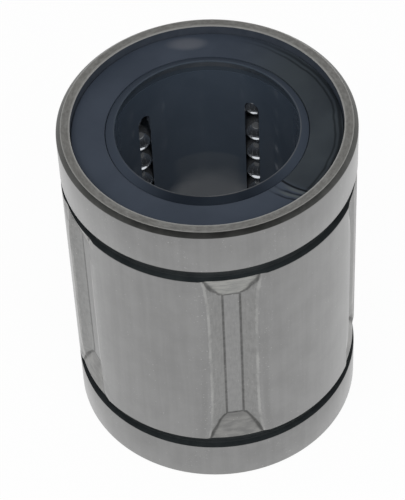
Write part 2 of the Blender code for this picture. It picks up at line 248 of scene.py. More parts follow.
class Finish:
    """A node material, with short calls for the nodes that these finishes share."""

    def __init__(self, name, colour, roughness, metallic, **sockets):
        self.material = bpy.data.materials.new(name)
        self.material.use_nodes = True
        self.tree = self.material.node_tree
        self.shader = self.tree.nodes["Principled BSDF"]
        self.shader.inputs["Base Color"].default_value = (*colour, 1.0)
        self.shader.inputs["Roughness"].default_value = roughness
        self.shader.inputs["Metallic"].default_value = metallic
        for socket, value in sockets.items():
            self.shader.inputs[socket.replace("_", " ")].default_value = value
        place = self.tree.nodes.new("ShaderNodeTexCoord")
        self.place = place.outputs["Object"]

    def link(self, value, socket):
        """Connect a node's output, or set a plain value."""
        if isinstance(value, (int, float)):
            socket.default_value = value
        else:
            self.tree.links.new(value, socket)

    def math(self, operation, first, second=0.0, third=0.0):
        """One Math node."""
        node = self.tree.nodes.new("ShaderNodeMath")
        node.operation = operation
        for value, socket in zip((first, second, third), node.inputs):
            self.link(value, socket)
        return node.outputs[0]

    def xyz(self, vector):
        """The three parts of a vector."""
        node = self.tree.nodes.new("ShaderNodeSeparateXYZ")
        self.tree.links.new(vector, node.inputs[0])
        return node.outputs

    def vector(self, x, y, z):
        """A vector from three parts."""
        node = self.tree.nodes.new("ShaderNodeCombineXYZ")
        for value, socket in zip((x, y, z), node.inputs):
            self.link(value, socket)
        return node.outputs[0]

    def noise(self, vector, scale, detail=3.0, roughness=0.5):
        """Noise between 0 and 1."""
        node = self.tree.nodes.new("ShaderNodeTexNoise")
        self.tree.links.new(vector, node.inputs["Vector"])
        node.inputs["Scale"].default_value = scale
        node.inputs["Detail"].default_value = detail
        node.inputs["Roughness"].default_value = roughness
        return node.outputs["Fac"]

    def ramp(self, value, low, high, low_value=0.0, high_value=1.0):
        """Map one range to another, smoothly and clamped."""
        node = self.tree.nodes.new("ShaderNodeMapRange")
        node.interpolation_type = "SMOOTHSTEP"
        for item, socket in zip((value, low, high, low_value, high_value), node.inputs):
            self.link(item, socket)
        return node.outputs[0]

    def near(self, value, middle, half):
        """One at a middle value, falling to nothing at a distance from it."""
        apart = self.math("ABSOLUTE", self.math("SUBTRACT", value, middle))
        return self.ramp(apart, half * 0.35, half, 1.0, 0.0)

    def mix(self, share, first, second):
        """Mix two colours, each a node's output or a plain colour."""
        node = self.tree.nodes.new("ShaderNodeMix")
        node.data_type = "RGBA"
        self.link(share, node.inputs["Factor"])
        for value, socket in ((first, node.inputs[6]), (second, node.inputs[7])):
            if isinstance(value, tuple):
                socket.default_value = (*value, 1.0)
            else:
                self.tree.links.new(value, socket)
        return node.outputs[2]

    def colour(self, value):
        """Drive the shader's colour."""
        self.tree.links.new(value, self.shader.inputs["Base Color"])

    def roughness(self, value):
        """Drive the shader's roughness."""
        self.tree.links.new(value, self.shader.inputs["Roughness"])

    def bump(self, height, distance, strength=1.0):
        """Add relief, distance in millimetres."""
        node = self.tree.nodes.new("ShaderNodeBump")
        node.inputs["Distance"].default_value = distance * MM
        node.inputs["Strength"].default_value = strength
        self.tree.links.new(height, node.inputs["Height"])
        self.tree.links.new(node.outputs[0], self.shader.inputs["Normal"])


def around_bore(finish):
    """Radius in millimetres, azimuth from the front and height in millimetres of the point being shaded."""
    x, y, z = finish.xyz(finish.place)
    x = finish.math("MULTIPLY", x, 1 / MM)
    y = finish.math("MULTIPLY", y, -1 / MM)
    z = finish.math("MULTIPLY", z, 1 / MM)
    squares = finish.math("ADD", finish.math("POWER", x, 2.0), finish.math("POWER", y, 2.0))
    radius = finish.math("SQRT", squares)
    azimuth = finish.math("ARCTAN2", x, y)
    return radius, azimuth, z


class TrackShape:
    """Where the point being shaded lies on the nearest pressed track, with lengths in millimetres. The arch is
    the line where a side meets a ramp."""

    def __init__(self, finish, azimuth, z):
        turned = finish.math("DIVIDE", finish.math("SUBTRACT", azimuth, FIRST_AZIMUTH), SECTOR)
        nearest = finish.math("SUBTRACT", turned, finish.math("ROUND", turned))
        height = finish.math("ABSOLUTE", finish.math("SUBTRACT", z, MID))
        along = finish.math("POWER", finish.math("DIVIDE", height, TRACK_HALF_SPAN), WAIST_CURVE)
        shoulder = finish.math("MULTIPLY_ADD", along, END_HALF - WAIST_HALF, WAIST_HALF)
        self.offset = finish.math("ABSOLUTE", finish.math("MULTIPLY", nearest, SECTOR * SLEEVE_OUT))
        self.past_shoulder = finish.math("SUBTRACT", self.offset, shoulder)
        self.past_flat = finish.math("SUBTRACT", height, FLAT_END)
        side_width = finish.math("SUBTRACT", shoulder, FLAT_HALF)
        self.side_share = finish.math("DIVIDE", finish.math("SUBTRACT", self.offset, FLAT_HALF), side_width)
        curve = finish.math("MULTIPLY_ADD", along, END_CURVE - SIDE_CURVE, SIDE_CURVE)
        side_rise = finish.math("POWER", finish.math("MAXIMUM", self.side_share, 0.0), curve)
        side_rise = finish.math("MULTIPLY", side_rise, PRESS_DEPTH)
        ramp_slope = (PRESS_DEPTH - RAMP_STEP) / RAMP_RUN
        ramp_rise = finish.math("MULTIPLY", finish.math("MAXIMUM", self.past_flat, 0.0), ramp_slope)
        self.side_over_ramp = finish.math("SUBTRACT", side_rise, ramp_rise)
        self.from_arch = finish.math("ABSOLUTE", self.side_over_ramp)
        self.inside = finish.math("MULTIPLY", finish.ramp(self.past_shoulder, 0.1, -0.2),
                                  finish.ramp(self.past_flat, RAMP_RUN + 0.05, RAMP_RUN - 0.05))


def crease_lines(finish, track):
    """Painted shade: dark lines where the flat, the sides and the ramps of a pressed track meet."""
    width = finish.ramp(track.past_flat, 0.0, RAMP_RUN, 0.1, 0.42)
    arch = finish.ramp(finish.math("DIVIDE", track.from_arch, width), 0.3, 1.0, 1.0, 0.0)
    arch = finish.math("MULTIPLY", arch, finish.ramp(track.side_share, -0.03, 0.03))
    arch = finish.math("MULTIPLY", arch, finish.ramp(track.past_flat, 0.0, 0.06))
    flat_edge = finish.math("MULTIPLY", finish.near(track.offset, FLAT_HALF, 0.2),
                            finish.ramp(track.past_flat, 0.06, 0.0))
    flat_end = finish.math("MULTIPLY", finish.near(track.past_flat, 0.0, 0.17),
                           finish.ramp(track.side_share, 0.05, 0.0))
    return finish.math("MAXIMUM", arch, finish.math("MAXIMUM", flat_edge, flat_end))


LAND_TONES = ((0.219, 0.219, 0.218), (0.26, 0.26, 0.259))
SIDE_TONES = ((0.205, 0.206, 0.203), (0.262, 0.262, 0.258))
FLAT_TONES = ((0.228, 0.229, 0.228), (0.276, 0.276, 0.274))
UPPER_RAMP_LIT_TONES = ((0.235, 0.237, 0.23), (0.345, 0.345, 0.325))
LOWER_RAMP_SHADED_TONES = ((0.19, 0.19, 0.187), (0.262, 0.261, 0.252))
RAMP_FOOT_SHADE = (0.15, 0.15, 0.147)
CORNER_SHADE = (0.085, 0.086, 0.083)
CREASE_SHADE = (0.05, 0.05, 0.048)
SHOULDER_HIGHLIGHT = (0.36, 0.36, 0.352)
SHADED = (0.2, 0.2, 0.198)
SPECK = (0.5, 0.5, 0.49)


def ramp_skin(finish, track, round_way, z, clouds):
    """Colour of the tracks' end ramps, wiped across by the press. The upper ones are painted lighter and the
    lower ones painted darker, with more painted shade at the foot.
    """
    wiped = finish.vector(finish.math("MULTIPLY", round_way, 0.3), z, finish.math("MULTIPLY", clouds, 0.8))
    wiped = finish.ramp(finish.noise(wiped, 2.1, 3.0, 0.55), 0.32, 0.66)
    # Painted light on the upper ramps and painted shade on the lower ones.
    upper = finish.mix(wiped, *UPPER_RAMP_LIT_TONES)
    lower = finish.mix(wiped, *LOWER_RAMP_SHADED_TONES)
    # Painted shade at the lower ramps' foot.
    lower = finish.mix(finish.ramp(track.past_flat, 1.3, 0.2, 0.0, 0.55), lower, RAMP_FOOT_SHADE)
    return finish.mix(finish.ramp(z, MID - 1, MID + 1), lower, upper)


def pressed_skin(finish, track, grain, fleck, ramps):
    """Colour inside a track: flat, sides and ramps, with painted shade in the corners beside the ramps."""
    flecked = finish.ramp(fleck, 0.34, 0.62)
    side = finish.mix(flecked, *SIDE_TONES)
    flat = finish.mix(flecked, *FLAT_TONES)
    skin = finish.mix(finish.ramp(track.side_share, 0.05, -0.05), side, flat)
    on_ramp = finish.math("MULTIPLY", finish.ramp(track.side_over_ramp, 0.02, -0.02),
                          finish.ramp(track.past_flat, 0.0, 0.1))
    skin = finish.mix(on_ramp, skin, ramps)
    # Painted shade in the corners where the steep sides meet the ramps.
    corner = finish.math("MULTIPLY", finish.ramp(track.from_arch, 0.02, 0.55, 1.0, 0.0),
                         finish.ramp(track.past_flat, -0.6, 2.6))
    corner = finish.math("MULTIPLY", corner, finish.ramp(track.side_share, 0.1, 0.45))
    corner = finish.math("MULTIPLY", corner, finish.ramp(grain, 0.3, 0.7, 0.75, 0.35))
    return finish.mix(corner, skin, CORNER_SHADE)


def shoulder_highlights_and_shade(finish, surface, track, z, clouds, smudges):
    """Painted highlights along the tracks' shoulders in places, with a faint band of painted shade beside
    them, stronger lower down.
    """
    waver = finish.math("MULTIPLY", finish.math("SUBTRACT", smudges, 0.5), 0.28)
    waved = finish.math("ADD", track.past_shoulder, waver)
    beside_ramp = finish.math("MULTIPLY", finish.ramp(track.side_over_ramp, 0.0, 0.12),
                              finish.ramp(track.past_flat, RAMP_RUN + 0.1, RAMP_RUN))
    # Painted highlight along the shoulder.
    highlight = finish.math("MULTIPLY", finish.near(waved, -0.03, 0.2), beside_ramp)
    highlight = finish.math("MULTIPLY", highlight, finish.ramp(clouds, 0.35, 0.6, 0.2, 0.85))
    surface = finish.mix(highlight, surface, SHOULDER_HIGHLIGHT)
    # Painted shade beside the shoulder.
    shade = finish.math("MULTIPLY", finish.near(waved, 0.8, 0.5), beside_ramp)
    shade = finish.math("MULTIPLY", shade, finish.ramp(z, MID + 6, MID - 8, 0.05, 0.5))
    return finish.mix(shade, surface, SHADED)


def bright_specks(finish, track):
    """Fine bright specks all over, and more of them, but fainter, beside the tracks."""
    dots = finish.noise(finish.place, 4800.0, 1.0)
    beside = finish.near(track.past_shoulder, 0.5, 1.6)
    scuffs = finish.math("MULTIPLY", finish.ramp(dots, 0.66, 0.74), beside)
    return finish.math("MAXIMUM", finish.ramp(dots, 0.74, 0.8), finish.math("MULTIPLY", scuffs, 0.6))


def ground_and_pressed():
    """Ground lands with faint streaks, and the slightly smudged skin of the pressed tracks. Their creases and
    corners carry painted shade, their shoulders painted highlights, and their ramps painted light and shade.
    """
    finish = Finish("sleeve_steel", (0.25, 0.25, 0.25), 0.34, 1.0, Coat_Weight=0.5, Coat_Roughness=0.3)
    azimuth, z = around_bore(finish)[1:]
    track = TrackShape(finish, azimuth, z)
    round_way = finish.math("MULTIPLY", azimuth, SLEEVE_OUT)
    streaks = finish.noise(finish.vector(round_way, finish.math("MULTIPLY", z, 0.05), 0.0), 1.1, 4.0, 0.6)
    marks = finish.noise(finish.vector(finish.math("MULTIPLY", round_way, 0.1), z, 0.0), 6.0, 3.0)
    clouds = finish.noise(finish.place, 300.0, 4.0, 0.6)
    smudges = finish.noise(finish.place, 1500.0, 5.0, 0.65)
    grain = finish.noise(finish.vector(round_way, finish.math("MULTIPLY", z, 0.16), 0.0), 4.2, 5.0, 0.75)
    fleck = finish.math("ADD", finish.math("MULTIPLY", grain, 0.6), finish.math("MULTIPLY", smudges, 0.4))
    tone = finish.math("ADD", finish.math("MULTIPLY", streaks, 0.45), finish.math("MULTIPLY", clouds, 0.55))
    land = finish.mix(finish.ramp(tone, 0.32, 0.68), *LAND_TONES)
    ramps = ramp_skin(finish, track, round_way, z, clouds)
    surface = finish.mix(track.inside, land, pressed_skin(finish, track, grain, fleck, ramps))
    # Painted shade along the tracks' creases.
    line = finish.math("MULTIPLY", crease_lines(finish, track), track.inside)
    line = finish.math("MULTIPLY", line, finish.ramp(smudges, 0.3, 0.7, 0.88, 0.62))
    surface = finish.mix(line, surface, CREASE_SHADE)
    surface = shoulder_highlights_and_shade(finish, surface, track, z, clouds, smudges)
    specks = finish.math("MULTIPLY", bright_specks(finish, track), 0.6)
    finish.colour(finish.mix(specks, surface, SPECK))
    rough = finish.math("MULTIPLY_ADD", marks, 0.06, 0.32)
    finish.roughness(finish.math("MULTIPLY_ADD", track.inside, 0.06, rough))
    relief = finish.math("MULTIPLY", fleck, track.inside)
    finish.bump(finish.math("ADD", finish.math("MULTIPLY", marks, 0.12), relief), 0.005, 0.5)
    return finish.material


END_TONES = ((0.285, 0.281, 0.268), (0.435, 0.431, 0.415))
END_STAIN = (0.235, 0.229, 0.21)
END_EDGE_HIGHLIGHT = (0.6, 0.6, 0.58)


def end_face_steel():
    """Face-ground end, browner and duller than the outside, with painted highlights along its two edges."""
    finish = Finish("sleeve_end_steel", (0.4, 0.39, 0.37), 0.45, 0.6)
    radius, azimuth, z = around_bore(finish)
    round_way = finish.math("MULTIPLY", azimuth, SLEEVE_OUT)
    grain = finish.noise(finish.vector(round_way, finish.math("MULTIPLY", radius, 2.0), z), 1.6, 5.0, 0.7)
    stain = finish.noise(finish.place, 260.0, 3.0, 0.6)
    face = finish.mix(finish.ramp(grain, 0.3, 0.7), *END_TONES)
    face = finish.mix(finish.ramp(stain, 0.45, 0.7, 0.0, 0.35), face, END_STAIN)
    # Painted highlights along the inner and outer edges.
    edge_highlight = finish.math("MAXIMUM", finish.near(radius, SLEEVE_IN + 0.08, 0.16),
                         finish.near(radius, SLEEVE_OUT - CHAMFER - 0.01, 0.11))
    finish.colour(finish.mix(finish.math("MULTIPLY", edge_highlight, 0.65), face, END_EDGE_HIGHLIGHT))
    finish.roughness(finish.math("MULTIPLY_ADD", grain, 0.2, 0.3))
    finish.bump(grain, 0.01, 0.5)
    return finish.material


def blotched_skin(name, colour, tint, roughness, metallic, shine=0.2):
    """Skin that the grinding didn't reach, slightly blotched by heat treatment."""
    finish = Finish(name, colour, roughness, metallic, Specular_IOR_Level=shine)
    blotch = finish.noise(finish.place, 700.0, 4.0, 0.6)
    finish.colour(finish.mix(finish.ramp(blotch, 0.3, 0.7), colour, tint))
    finish.roughness(finish.math("MULTIPLY_ADD", blotch, 0.2, roughness - 0.1))
    finish.bump(blotch, 0.01, 0.4)
    return finish.material


for skin in (
    ground_and_pressed(),
    end_face_steel(),
    blotched_skin("chamfer_scale", (0.115, 0.117, 0.113), (0.155, 0.156, 0.15), 0.42, 1.0),
    blotched_skin("groove_scale", (0.018, 0.022, 0.024), (0.026, 0.031, 0.033), 0.5, 0.0, 0.35),
    blotched_skin("bore_skin", (0.043, 0.052, 0.068), (0.054, 0.064, 0.082), 0.5, 0.0, 0.14),
    blotched_skin("raceway_steel", (0.46, 0.48, 0.5), (0.54, 0.56, 0.58), 0.4, 0.5),
):
    sleeve.data.materials.append(skin)
GROUND, END_FACE, CHAMFERED, GROOVED, MOUTH, RACEWAY = range(6)
FACE_DEPTH = 0.11
GROOVE_SKIN_R = SLEEVE_IN + 0.3
MOUTH_DEPTH = GROOVE_START * 0.7


def sleeve_zone(polygon):
    """Which finish a face of the sleeve has, by where it lies."""
    x, y, z = (value / MM for value in polygon.center)
    radius = math.hypot(x, y)
    from_end = min(z, LENGTH - z)
    if from_end < FACE_DEPTH and radius < SLEEVE_OUT - CHAMFER + 3 * HAIR:
        return END_FACE
    below_land = radius < SLEEVE_OUT - 2 * HAIR
    if from_end < CHAMFER - 2 * HAIR and below_land:
        return CHAMFERED
    if GROOVE_START - HAIR < from_end < GROOVE_END + HAIR and below_land and radius > GROOVE_SKIN_R:
        return GROOVED
    if radius < SLEEVE_IN + 2 * HAIR and from_end > 0.1:
        return MOUTH if from_end < MOUTH_DEPTH else RACEWAY
    return GROUND


for polygon in sleeve.data.polygons:
    polygon.material_index = sleeve_zone(polygon)

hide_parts("outer_sleeve")
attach(sleeve, "sleeve_and_cage")

# End rings
# A black resin ring pressed into each end of the sleeve. It closes the ball channels, and a step under its
# hole clamps the seal. The outer face is moulded flat and carries a film of oil.
RING_SET_BACK = 1.1
RING_THICK = 1.5
RING_WEB = 0.7
RING_HOLE = 10.85
RING_OUT = SLEEVE_IN - 0.06
SEAT_R = 12.45
ROUND_STEPS = 180
ring_top = LENGTH - RING_SET_BACK
ring = spun_piece("end_ring_face", rounded_outline([
    (RING_HOLE, ring_top, FILLET),
    (RING_HOLE, ring_top - RING_WEB, 0.0),
    (SEAT_R, ring_top - RING_WEB, 0.0),
    (SEAT_R, ring_top - RING_THICK, 0.0),
    (RING_OUT, ring_top - RING_THICK, 0.1),
    (RING_OUT, ring_top, FILLET),
]), [(2 * math.pi, ROUND_STEPS)])
SEAM_AZIMUTH = math.radians(43.1)
SEAM_LEAN = math.radians(2.8)
SEAM_END_R = 13.85
SEAM_POWER = 1.8
SEAM_BEND = SEAM_LEAN / (SEAM_END_R - RING_HOLE) ** SEAM_POWER
SHEEN_AT = (-1.8, 12.95)
SHEEN_HALF = (2.4, 1.05)
DRY_TONES = ((0.041, 0.052, 0.072), (0.05, 0.062, 0.084))
OILED_TONES = ((0.03, 0.037, 0.045), (0.041, 0.05, 0.058))
WRINKLE_BLACK = (0.004, 0.005, 0.007)
FOLD_AND_SHADE_BLACK = (0.003, 0.004, 0.005)
OIL_GLINT = (0.082, 0.094, 0.097)
SHEEN_PALE = (0.11, 0.118, 0.138)


def oil_wrinkles(finish, surface, past, outwards, film):
    """Dark wrinkles and paler glints in the oil before the seam, and the black fold at the seam."""
    rippled = finish.math("ADD", past, finish.math("MULTIPLY", finish.math("SUBTRACT", film, 0.5), 1.6))
    wrinkles = finish.math("MAXIMUM", finish.near(rippled, -0.85, 0.2), finish.near(rippled, -1.75, 0.17))
    wrinkles = finish.math("MULTIPLY", wrinkles, finish.ramp(outwards, 0.5, 1.6, 0.25, 0.65))
    surface = finish.mix(wrinkles, surface, WRINKLE_BLACK)
    glint = finish.math("MAXIMUM", finish.near(past, -0.36, 0.3), finish.near(rippled, -1.2, 0.3))
    glint = finish.math("MULTIPLY", glint, finish.ramp(outwards, 0.4, 1.8, 0.1, 0.75))
    surface = finish.mix(glint, surface, OIL_GLINT)
    fold = finish.math("MULTIPLY", finish.near(past, 0.0, 0.2), 0.9)
    return finish.mix(fold, surface, FOLD_AND_SHADE_BLACK)


def painted_sheen(finish, radius, azimuth, wave):
    """How much of the painted sheen at the back of the ring covers a point."""
    x = finish.math("MULTIPLY", radius, finish.math("SINE", azimuth))
    y = finish.math("MULTIPLY", radius, finish.math("COSINE", azimuth))
    across = finish.math("DIVIDE", finish.math("SUBTRACT", x, SHEEN_AT[0]), SHEEN_HALF[0])
    along = finish.math("DIVIDE", finish.math("ADD", y, SHEEN_AT[1]), SHEEN_HALF[1])
    far = finish.math("ADD", finish.math("POWER", across, 2.0), finish.math("POWER", along, 2.0))
    sheen = finish.ramp(finish.math("ADD", far, wave), 0.15, 1.3, 1.0, 0.0)
    return finish.math("MULTIPLY", sheen, 0.75)


def oiled_face():
    """Black moulded resin, bluish, greener past the seam where the oil film has run and wrinkled, with painted
    shade rings near the outer edge past the seam and a painted sheen at the back.
    """
    finish = Finish("end_ring_resin", (0.038, 0.047, 0.065), 0.35, 0.0, Specular_IOR_Level=0.3)
    radius, azimuth = around_bore(finish)[:2]
    film = finish.noise(finish.place, 170.0, 3.0, 0.5)
    fine = finish.noise(finish.place, 2600.0, 2.0)
    outwards = finish.math("SUBTRACT", radius, RING_HOLE)
    bend = finish.math("POWER", finish.math("MAXIMUM", outwards, 0.0), SEAM_POWER)
    bend = finish.math("MULTIPLY", bend, SEAM_BEND)
    past = finish.math("SUBTRACT", azimuth, finish.math("ADD", bend, SEAM_AZIMUTH))
    past = finish.math("MULTIPLY", past, radius)
    oiled = finish.math("MULTIPLY", finish.ramp(past, -0.2, 0.6), finish.ramp(azimuth, 3.0, 2.2))
    mottle = finish.ramp(film, 0.35, 0.65)
    surface = finish.mix(oiled, finish.mix(mottle, *DRY_TONES), finish.mix(mottle, *OILED_TONES))
    surface = oil_wrinkles(finish, surface, past, outwards, film)
    wave = finish.math("MULTIPLY", finish.math("SUBTRACT", film, 0.5), 0.9)
    waved = finish.math("ADD", radius, wave)
    # Painted shade: dark rings near the outer edge, past the seam.
    rim_shade = finish.math("MAXIMUM", finish.near(waved, RING_OUT - 0.3, 0.24),
                       finish.near(waved, RING_OUT - 0.85, 0.16))
    rim_shade = finish.math("MULTIPLY", rim_shade, finish.math("MULTIPLY", oiled, 0.55))
    surface = finish.mix(rim_shade, surface, FOLD_AND_SHADE_BLACK)
    # Painted sheen at the back of the ring.
    finish.colour(finish.mix(painted_sheen(finish, radius, azimuth, wave), surface, SHEEN_PALE))
    finish.roughness(finish.ramp(film, 0.3, 0.7, 0.42, 0.28))
    relief = finish.math("ADD", finish.math("MULTIPLY", fine, 0.2), finish.math("MULTIPLY", film, 2.0))
    finish.bump(relief, 0.012, 0.5)
    return finish.material


resin_face = oiled_face()


def flipped_copy(piece, name):
    """The same piece for the lower end, turned over about the X axis through the middle."""
    copy = piece.copy()
    copy.data = piece.data.copy()
    copy.name = name
    bpy.context.collection.objects.link(copy)
    middle = Vector((0, 0, MID * MM))
    turn = Matrix.Translation(middle) @ Matrix.Rotation(math.pi, 4, "X") @ Matrix.Translation(-middle)
    copy.data.transform(turn)
    return copy


def finish_turned(piece, material):
    """Smooth the round faces of a turned piece and give it its finish."""
    settle(piece)
    bpy.ops.object.shade_smooth_by_angle(angle=SMOOTH_ANGLE)
    piece.data.materials.append(material)


finish_turned(ring, resin_face)
for piece, end in ((ring, "top"), (flipped_copy(ring, "end_ring_face_lower"), "bottom")):
    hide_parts("end_ring_" + end)
    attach(piece, "sleeve_and_cage")

# Seals
# A rubber wiper at each mouth of the bore: a flange held under the end ring, and a thin lip that leans
# outwards and inwards to wipe the shaft.
LIP_R = 9.8
LIP_RISE = 0.35
LIP_TIP = ring_top + LIP_RISE
SEAL_NECK = 10.8
SEAL_IN = 10.25
FLANGE_TOP = ring_top - 0.9
FLANGE_OUT = SEAT_R - 0.1
seal = spun_piece("seal_lip", rounded_outline([
    (SEAL_IN, ring_top - RING_THICK, 0.0),
    (SEAL_IN, FLANGE_TOP, 0.1),
    (LIP_R, LIP_TIP - 0.12, 0.04),
    (LIP_R + 0.09, LIP_TIP, 0.05),
    (SEAL_NECK, ring_top - 0.13, 0.08),
    (SEAL_NECK, FLANGE_TOP, 0.05),
    (FLANGE_OUT, FLANGE_TOP, 0.05),
    (FLANGE_OUT, ring_top - RING_THICK, 0.0),
]), [(2 * math.pi, ROUND_STEPS)])


def moulded(name, colour, tint, roughness, shine):
    """Plain black moulding. Returns the finish, its colour so far and the film that varies it."""
    finish = Finish(name, colour, roughness, 0.0, Specular_IOR_Level=shine)
    film = finish.noise(finish.place, 240.0, 3.0)
    surface = finish.mix(finish.ramp(film, 0.35, 0.65), colour, tint)
    finish.colour(surface)
    finish.roughness(finish.ramp(film, 0.3, 0.7, roughness + 0.05, roughness - 0.05))
    finish.bump(finish.noise(finish.place, 2600.0, 2.0), 0.004, 0.5)
    return finish, surface, film


def seal_rubber():
    """Black rubber, with painted light making it paler away from the front, and a painted highlight along the
    lip's edge, strongest towards the front right.
    """
    finish, surface, film = moulded("seal_rubber", (0.011, 0.015, 0.022), (0.015, 0.020, 0.028), 0.55, 0.08)
    radius, azimuth = around_bore(finish)[:2]
    # Painted light: paler towards the sides and back.
    painted_side_light = finish.ramp(finish.math("ABSOLUTE", azimuth), 0.3, 1.1)
    surface = finish.mix(painted_side_light, surface, (0.042, 0.053, 0.072))
    aside = finish.math("ABSOLUTE", finish.math("SUBTRACT", azimuth, 0.6))
    # Painted highlight along the lip's edge.
    lip_edge = finish.near(radius, LIP_R + 0.08, 0.13)
    lip_highlight = finish.math("MULTIPLY", lip_edge, finish.ramp(film, 0.3, 0.7, 0.5, 1.0))
    lip_highlight = finish.math("MULTIPLY", lip_highlight, finish.ramp(aside, 1.0, 2.0, 0.85, 0.1))
    finish.colour(finish.mix(lip_highlight, surface, (0.115, 0.118, 0.122)))
    return finish.material


rubber = seal_rubber()
# The lip's inner faces are paler than the rubber: painted light on faces that turn down into shade.
painted_light_inner_side = moulded("seal_inner_side", (0.044, 0.058, 0.077), (0.05, 0.065, 0.085), 0.45, 0.15)[0].material
finish_turned(seal, rubber)
seal.data.materials.append(painted_light_inner_side)
for polygon in seal.data.polygons:
    inwards = -polygon.normal.xy.dot(polygon.center.xy.normalized())
    polygon.material_index = int(inwards > 0.5 and polygon.center.xy.length < SEAL_NECK * MM)
for piece, end in ((seal, "top"), (flipped_copy(seal, "seal_lip_lower"), "bottom")):
    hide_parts("seal_" + end)
    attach(piece, "sleeve_and_cage")

# Ball cage
# One moulding of black resin that keeps the five circuits of balls apart. Each circuit runs in a channel that
# is open to the sleeve, and a long window opens its load row to the bore.
CAGE_IN = 10.2
CAGE_OUT = 14.3
CAGE_START = RING_SET_BACK + RING_THICK + 0.01
SHAFT_R = 10.0
BALL_R = 1.5875
RACE_R = BALL_R + 0.0525
LOAD_R = SHAFT_R + BALL_R
TURN_R = 3.2
LOAD_BALLS = 7
joints = {joint["name"]: joint for joint in frame["record"]["behaviour"]["joints"]}


class Circuit:
    """Where one circuit of balls runs, read from the frame."""

    def __init__(self, number):
        self.name = "circuit_%d" % number
        self.load = [self.middle_of("load_ball_%d" % (ball + 1)) for ball in range(LOAD_BALLS)]
        back = self.middle_of("return_balls")
        self.turns = {}
        for side in ("upper", "lower"):
            joint = joints["%s_%s_turn_travel" % (self.name, side)]
            centre = Vector(joint["pos_m"])
            axis = Vector(joint["axis"])
            towards = centre - self.load[0]
            towards.z = 0
            towards.normalize()
            rise = towards.cross(axis) if side == "upper" else axis.cross(towards)
            self.turns[side] = (centre, towards, rise)
        centre, towards = self.turns["upper"][:2]
        self.back = centre + towards * TURN_R * MM
        self.back.z = back.z

    def middle_of(self, node):
        """Middle of a CAD node's box."""
        low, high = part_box("%s_%s" % (self.name, node))
        return (Vector(low) + Vector(high)) / 2

    def turn_point(self, side, angle):
        """Place on a turn, from the load row at 0 to the return row at a half turn."""
        centre, towards, rise = self.turns[side]
        return centre + (rise * math.sin(angle) - towards * math.cos(angle)) * TURN_R * MM

    def turn_heading(self, side, angle):
        """Direction of travel there, away from the load row."""
        towards, rise = self.turns[side][1:]
        return towards * math.sin(angle) + rise * math.cos(angle)


circuits = [Circuit(number + 1) for number in range(CIRCUITS)]


def channel_cutter(circuit, turn_steps=16, round_steps=10):
    """Round-bottomed space swept once round a circuit, open towards the outside."""
    points = []
    path = []
    for side, sign in (("upper", 1), ("lower", -1)):
        for step in range(turn_steps + 1):
            angle = math.pi * (step if sign > 0 else turn_steps - step) / turn_steps
            path.append((circuit.turn_point(side, angle), circuit.turn_heading(side, angle) * sign))
    for place, heading in path:
        outwards = Vector((place.x, place.y, 0)).normalized()
        across = heading.cross(outwards).normalized()
        for step in range(round_steps + 1):
            angle = math.pi * step / round_steps
            points.append(place + (across * math.cos(angle) - outwards * math.sin(angle)) * RACE_R * MM)
        reach = outwards * (SLEEVE_OUT * MM - place.xy.length)
        points.append(place - across * RACE_R * MM + reach)
        points.append(place + across * RACE_R * MM + reach)
    side_count = round_steps + 3
    faces = []
    for row in range(len(path)):
        onward = (row + 1) % len(path)
        for column in range(side_count):
            beside = (column + 1) % side_count
            faces.append((row * side_count + column, row * side_count + beside,
                          onward * side_count + beside, onward * side_count + column))
    mesh = bpy.data.meshes.new("channel_cutter")
    mesh.from_pydata([tuple(point) for point in points], [], faces)
    cutter = bpy.data.objects.new("channel_cutter", mesh)
    bpy.context.collection.objects.link(cutter)
    settle(cutter)
    bpy.ops.object.mode_set(mode="EDIT")
    bpy.ops.mesh.select_all(action="SELECT")
    bpy.ops.mesh.normals_make_consistent(inside=False)
    bpy.ops.object.mode_set(mode="OBJECT")
    return cutter


WINDOW_HALF = 0.86
WINDOW_REACH = 14.3
WINDOW_START = CAGE_IN - 0.5


def window_cutter(circuit, end_steps=12):
    """Long window with round ends, cut through the wall between the bore and one load row."""
    middle = circuit.load[LOAD_BALLS // 2]
    outwards = Vector((middle.x, middle.y, 0)).normalized()
    across = Vector((0, 0, 1)).cross(outwards)
    bpy.ops.mesh.primitive_circle_add(vertices=4 * end_steps, radius=WINDOW_HALF * MM, fill_type="NGON")
    cutter = bpy.context.active_object
    settle(cutter)
    for vertex in cutter.data.vertices:
        reach = (WINDOW_REACH - WINDOW_HALF) * MM * (1 if vertex.co.y >= 0 else -1)
        aside = vertex.co.x
        up = vertex.co.y + reach + MID * MM
        vertex.co = outwards * WINDOW_START * MM + across * aside + Vector((0, 0, up))
    bpy.ops.object.mode_set(mode="EDIT")
    bpy.ops.mesh.select_all(action="SELECT")
    step = outwards * (LOAD_R - WINDOW_START) * MM
    bpy.ops.mesh.extrude_region_move(TRANSFORM_OT_translate={"value": tuple(step)})
    bpy.ops.mesh.select_all(action="SELECT")
    bpy.ops.mesh.normals_make_consistent(inside=False)
    bpy.ops.object.mode_set(mode="OBJECT")
    return cutter


